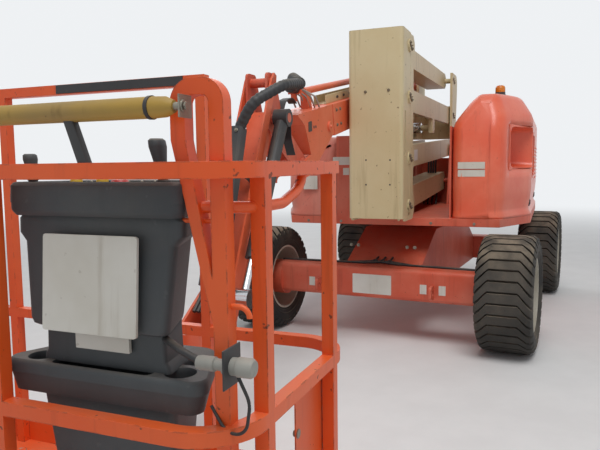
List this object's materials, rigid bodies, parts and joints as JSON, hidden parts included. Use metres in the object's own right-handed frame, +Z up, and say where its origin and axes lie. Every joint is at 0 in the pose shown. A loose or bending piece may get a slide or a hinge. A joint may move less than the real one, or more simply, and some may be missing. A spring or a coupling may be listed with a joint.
{
  "type": "articulating boom lift",
  "caption": "Self-propelled aerial work platform: riser tower, telescopic boom, jib and railed platform on a swinging turntable over a four-wheel rough terrain chassis.",
  "frame": {"origin": "on the ground below the middle of the stowed machine", "axes": "+X from the counterweight to the platform, +Y to the engine side, +Z up"},
  "size_m": [6.472, 2.5446, 2.2983],
  "materials": {
    "boom_paint": "sun-faded orange paint, dusty",
    "body_paint": "sun-faded orange paint",
    "rail_paint": "orange paint, chipped at the edges",
    "beige_paint": "beige paint, dusty",
    "rim_paint": "pale grey paint with dust",
    "dark_steel": "black paint, worn",
    "rod_chrome": "polished",
    "tyre_rubber": "matt, dusty",
    "console_plastic": "charcoal, textured",
    "bar_yellow": "dirty yellow",
    "beacon_amber": "clear amber"
  },
  "bodies": {
    "chassis": {"chassis_frame": "body_paint", "fixed_axle": "body_paint", "steer_axle": "body_paint"},
    "knuckle_left": {"knuckle_left": "dark_steel"},
    "knuckle_right": {"knuckle_right": "dark_steel"},
    "steer_link": {"steer_link": "dark_steel"},
    "turntable": {"turntable_frame": "body_paint", "counterweight": "dark_steel", "engine_block": "dark_steel"},
    "hood_engine": {"hood_engine": "body_paint", "ground_controls": "console_plastic", "beacon": "beacon_amber"},
    "hood_tank": {"hood_tank": "body_paint"},
    "lower_arm": {"tower_lower_arm": "boom_paint"},
    "lower_link": {"tower_lower_link": "boom_paint"},
    "upright": {"tower_upright": "beige_paint"},
    "upper_arm": {"tower_upper_arm": "boom_paint"},
    "upper_link": {"tower_upper_link": "boom_paint"},
    "boom_mount": {"boom_mount": "beige_paint"},
    "tower_cylinder": {"tower_cylinder": "dark_steel"},
    "tower_rod": {"tower_rod": "rod_chrome"},
    "main_boom": {"main_boom": "boom_paint", "hose_tray": "beige_paint"},
    "fly_boom": {"fly_boom": "dark_steel", "push_tube": "rod_chrome"},
    "main_cylinder": {"main_cylinder": "dark_steel"},
    "main_rod": {"main_rod": "rod_chrome"},
    "jib_base": {"jib_base": "dark_steel"},
    "jib_arm": {"jib_arm": "boom_paint"},
    "jib_link": {"jib_link": "boom_paint"},
    "jib_end": {"jib_end": "dark_steel"},
    "jib_cylinder": {"jib_cylinder": "dark_steel"},
    "jib_rod": {"jib_rod": "rod_chrome"},
    "platform": {"rotator": "dark_steel", "platform_floor": "rail_paint", "platform_rails": "rail_paint", "console_lid": "console_plastic", "console_body": "console_plastic", "storage_tray": "console_plastic", "guard_bar": "bar_yellow"},
    "entry_gate": {"entry_gate": "rail_paint"},
    "wheel_fixed_left": {"tyre_fixed_left": "tyre_rubber", "rim_fixed_left": "rim_paint"},
    "wheel_fixed_right": {"tyre_fixed_right": "tyre_rubber", "rim_fixed_right": "rim_paint"},
    "wheel_steer_left": {"tyre_steer_left": "tyre_rubber", "rim_steer_left": "rim_paint"},
    "wheel_steer_right": {"tyre_steer_right": "tyre_rubber", "rim_steer_right": "rim_paint"}
  },
  "joints": [
    {"name": "wheel_fixed_left", "type": "hinge", "parent": "chassis", "child": "wheel_fixed_left", "pos_m": [-0.46699, -1.05424, 0.42], "axis": [0.0698, 0.9976, 0], "continuous": true},
    {"name": "steering", "type": "hinge", "parent": "chassis", "child": "knuckle_left", "pos_m": [-2.78071, -0.59673, 0.44], "axis": [0, 0, 1], "range_deg": [-35, 35]},
    {"name": "wheel_steer_left", "type": "hinge", "parent": "knuckle_left", "child": "wheel_steer_left", "pos_m": [-2.80129, -0.89101, 0.42], "axis": [0.0698, 0.9976, 0], "continuous": true},
    {"name": "wheel_fixed_right", "type": "hinge", "parent": "chassis", "child": "wheel_fixed_right", "pos_m": [-0.33097, 0.89101, 0.42], "axis": [0.0698, 0.9976, 0], "continuous": true},
    {"name": "steering_right", "type": "hinge", "parent": "chassis", "child": "knuckle_right", "pos_m": [-2.68585, 0.75996, 0.44], "axis": [0, 0, 1], "range_deg": [-35, 35]},
    {"name": "wheel_steer_right", "type": "hinge", "parent": "knuckle_right", "child": "wheel_steer_right", "pos_m": [-2.66527, 1.05424, 0.42], "axis": [0.0698, 0.9976, 0], "continuous": true},
    {"name": "tie_slide", "type": "slide", "parent": "chassis", "child": "steer_link", "axis": [0.0698, 0.9976, 0], "range_m": [-0.1042, 0.1042]},
    {"name": "swing", "type": "hinge", "parent": "chassis", "child": "turntable", "pos_m": [-1.56613, 0, 0.86], "axis": [0, 0, 1], "range_deg": [-181.5, 173.5]},
    {"name": "engine_hood", "type": "hinge", "parent": "turntable", "child": "hood_engine", "pos_m": [-1.56613, 0.45, 1.66], "axis": [1, 0, 0], "range_deg": [0, 60]},
    {"name": "tank_hood", "type": "hinge", "parent": "turntable", "child": "hood_tank", "pos_m": [-1.56613, -0.47, 1.57], "axis": [-1, 0, 0], "range_deg": [0, 60]},
    {"name": "tower_lift", "type": "hinge", "parent": "turntable", "child": "lower_arm", "pos_m": [-2.41613, 0, 1.165], "axis": [0, -1, 0], "range_deg": [0, 70]},
    {"name": "lower_link_turn", "type": "hinge", "parent": "turntable", "child": "lower_link", "pos_m": [-2.41613, 0, 1.507], "axis": [0, -1, 0], "range_deg": [0, 70]},
    {"name": "upright_turn", "type": "hinge", "parent": "lower_arm", "child": "upright", "pos_m": [-0.19113, 0, 1.045], "axis": [0, -1, 0], "range_deg": [-70, 0]},
    {"name": "upper_arm_turn", "type": "hinge", "parent": "upright", "child": "upper_arm", "pos_m": [-0.19113, 0, 2.172], "axis": [0, -1, 0], "range_deg": [-70, 0]},
    {"name": "upper_link_turn", "type": "hinge", "parent": "upright", "child": "upper_link", "pos_m": [-0.19113, 0, 1.815], "axis": [0, -1, 0], "range_deg": [-70, 0]},
    {"name": "mount_turn", "type": "hinge", "parent": "upper_arm", "child": "boom_mount", "pos_m": [-2.41613, 0, 2.192], "axis": [0, -1, 0], "range_deg": [0, 70]},
    {"name": "tower_ram_turn", "type": "hinge", "parent": "upright", "child": "tower_cylinder", "pos_m": [-0.23113, 0, 1.56], "axis": [0, -1, 0], "range_deg": [-64.09, 0]},
    {"name": "tower_ram_slide", "type": "slide", "parent": "tower_cylinder", "child": "tower_rod", "axis": [-0.9963, 0, 0.0862], "range_m": [0, 0.2621]},
    {"name": "main_lift", "type": "hinge", "parent": "boom_mount", "child": "main_boom", "pos_m": [-2.56613, -0.32, 2.155], "axis": [0, -1, 0], "range_deg": [0, 80]},
    {"name": "main_ram_turn", "type": "hinge", "parent": "boom_mount", "child": "main_cylinder", "pos_m": [-2.46613, -0.32, 1.69], "axis": [0, -1, 0], "range_deg": [0, 69.54]},
    {"name": "main_ram_slide", "type": "slide", "parent": "main_cylinder", "child": "main_rod", "axis": [0.999, 0, 0.0441], "range_m": [0, 0.5563]},
    {"name": "fly_extend", "type": "slide", "parent": "main_boom", "child": "fly_boom", "axis": [0.9839, 0, -0.1788], "range_m": [0, 2.1]},
    {"name": "jib_level", "type": "hinge", "parent": "fly_boom", "child": "jib_base", "pos_m": [0.74064, -0.32, 1.33554], "axis": [0, -1, 0], "range_deg": [-80, 0]},
    {"name": "jib_lift", "type": "hinge", "parent": "jib_base", "child": "jib_arm", "pos_m": [1.17887, -0.32, 1.595], "axis": [0, -1, 0], "range_deg": [0, 130]},
    {"name": "jib_link_turn", "type": "hinge", "parent": "jib_base", "child": "jib_link", "pos_m": [1.17887, -0.32, 1.785], "axis": [0, -1, 0], "range_deg": [0, 130]},
    {"name": "jib_end_turn", "type": "hinge", "parent": "jib_arm", "child": "jib_end", "pos_m": [1.67545, -0.32, 0.53009], "axis": [0, -1, 0], "range_deg": [-130, 0]},
    {"name": "jib_ram_turn", "type": "hinge", "parent": "jib_base", "child": "jib_cylinder", "pos_m": [1.17887, -0.192, 1.595], "axis": [0, -1, 0], "range_deg": [0, 128.84]},
    {"name": "jib_ram_slide", "type": "slide", "parent": "jib_cylinder", "child": "jib_rod", "axis": [0.4936, 0, -0.8697], "range_m": [0, 0.3441]},
    {"name": "platform_turn", "type": "hinge", "parent": "jib_end", "child": "platform", "pos_m": [1.99387, -0.32, 0.44], "axis": [0, 0, 1], "range_deg": [-90, 90]},
    {"name": "gate", "type": "hinge", "parent": "platform", "child": "entry_gate", "pos_m": [2.65787, -1.1887, 0.29], "axis": [0, 0, 1], "range_deg": [0, 90], "stiffness_Nm_per_rad": 4}
  ],
  "couplings": [
    {"joint": "steering_right", "follows": "steering", "ratio": 1},
    {"joint": "tie_slide", "follows": "steering", "m_per_rad": -0.16901},
    {"joint": "lower_link_turn", "follows": "tower_lift", "ratio": 1},
    {"joint": "upright_turn", "follows": "tower_lift", "ratio": -1},
    {"joint": "upper_arm_turn", "follows": "tower_lift", "ratio": -1},
    {"joint": "upper_link_turn", "follows": "tower_lift", "ratio": -1},
    {"joint": "mount_turn", "follows": "tower_lift", "ratio": 1},
    {"joint": "tower_ram_turn", "follows": "tower_lift", "ratio": -0.91538},
    {"joint": "tower_ram_slide", "follows": "tower_lift", "m_per_rad": 0.21414},
    {"joint": "main_ram_turn", "follows": "main_lift", "ratio": 0.86918},
    {"joint": "main_ram_slide", "follows": "main_lift", "m_per_rad": 0.39805},
    {"joint": "jib_level", "follows": "main_lift", "ratio": -1},
    {"joint": "jib_link_turn", "follows": "jib_lift", "ratio": 1},
    {"joint": "jib_end_turn", "follows": "jib_lift", "ratio": -1},
    {"joint": "jib_ram_turn", "follows": "jib_lift", "ratio": 0.99102},
    {"joint": "jib_ram_slide", "follows": "jib_lift", "m_per_rad": 0.15143}
  ]
}
